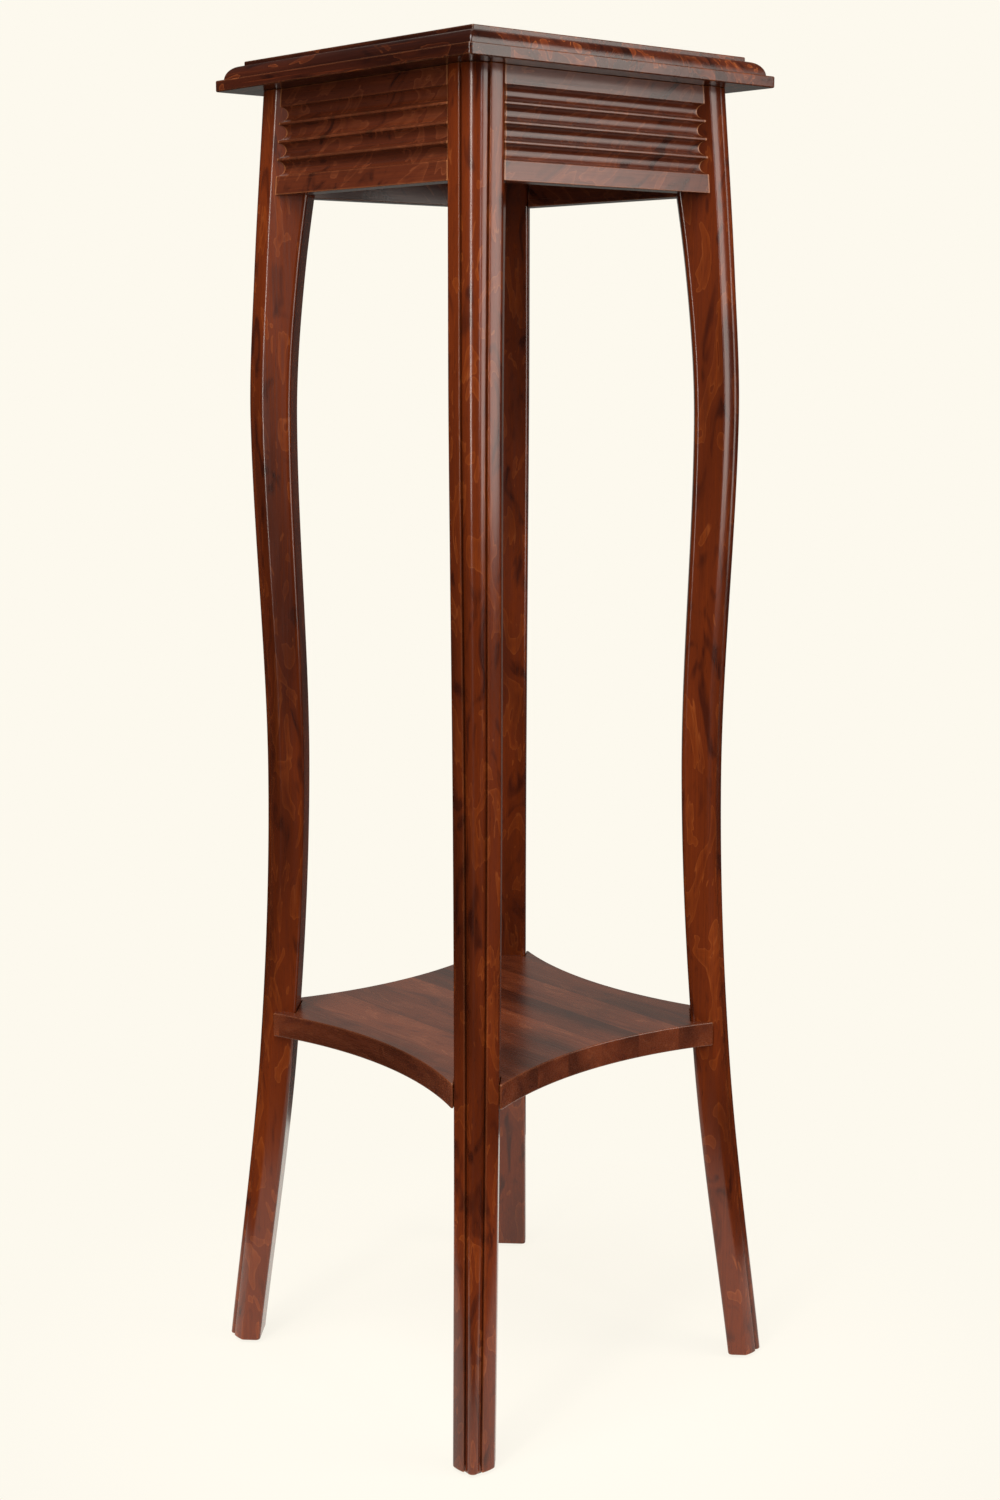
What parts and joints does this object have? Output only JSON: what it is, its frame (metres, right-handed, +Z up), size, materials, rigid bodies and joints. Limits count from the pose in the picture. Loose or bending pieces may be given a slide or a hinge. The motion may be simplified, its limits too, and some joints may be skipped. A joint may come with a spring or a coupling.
{
  "type": "plant stand",
  "caption": "Tall square wooden stand with a moulded top, fluted aprons, curved legs set on the diagonals and a lower shelf with hollow sides notched round them.",
  "frame": {"origin": "on the floor under the middle of the stand", "axes": "+Z up; the front is -Y; the sides seen in the picture are the front (-Y) and the right (+X), and the corner between them points at the camera"},
  "size_m": [0.3318, 0.3318, 1.07],
  "materials": {
    "top_wood": "dark red-brown stained hardwood, satin to semi-gloss lacquer, flame figure",
    "leg_wood": "dark red-brown stained hardwood, semi-gloss lacquer, grain along the leg",
    "apron_wood": "dark red-brown stained hardwood, semi-gloss lacquer, fluted along its length",
    "shelf_wood": "dark red-brown stained hardwood, semi-gloss lacquer",
    "block_wood": "plain stained hardwood, unpolished",
    "dowel_wood": "plain beech, unfinished",
    "screw_steel": "bright zinc-plated steel",
    "glide_plastic": "black moulded nylon"
  },
  "bodies": {
    "root": {"top_board": "top_wood", "shelf": "shelf_wood", "apron_front": "apron_wood", "apron_right": "apron_wood", "apron_back": "apron_wood", "apron_left": "apron_wood", "leg_front_right": "leg_wood", "leg_back_right": "leg_wood", "leg_back_left": "leg_wood", "leg_front_left": "leg_wood", "corner_block_front_right": "block_wood", "corner_block_back_right": "block_wood", "corner_block_back_left": "block_wood", "corner_block_front_left": "block_wood", "glide_front_right": "glide_plastic", "glide_back_right": "glide_plastic", "glide_back_left": "glide_plastic", "glide_front_left": "glide_plastic", "apron_dowels": "dowel_wood", "shelf_dowels": "dowel_wood", "block_screws": "screw_steel", "top_screws": "screw_steel", "glide_pins": "screw_steel"}
  },
  "joints": []
}
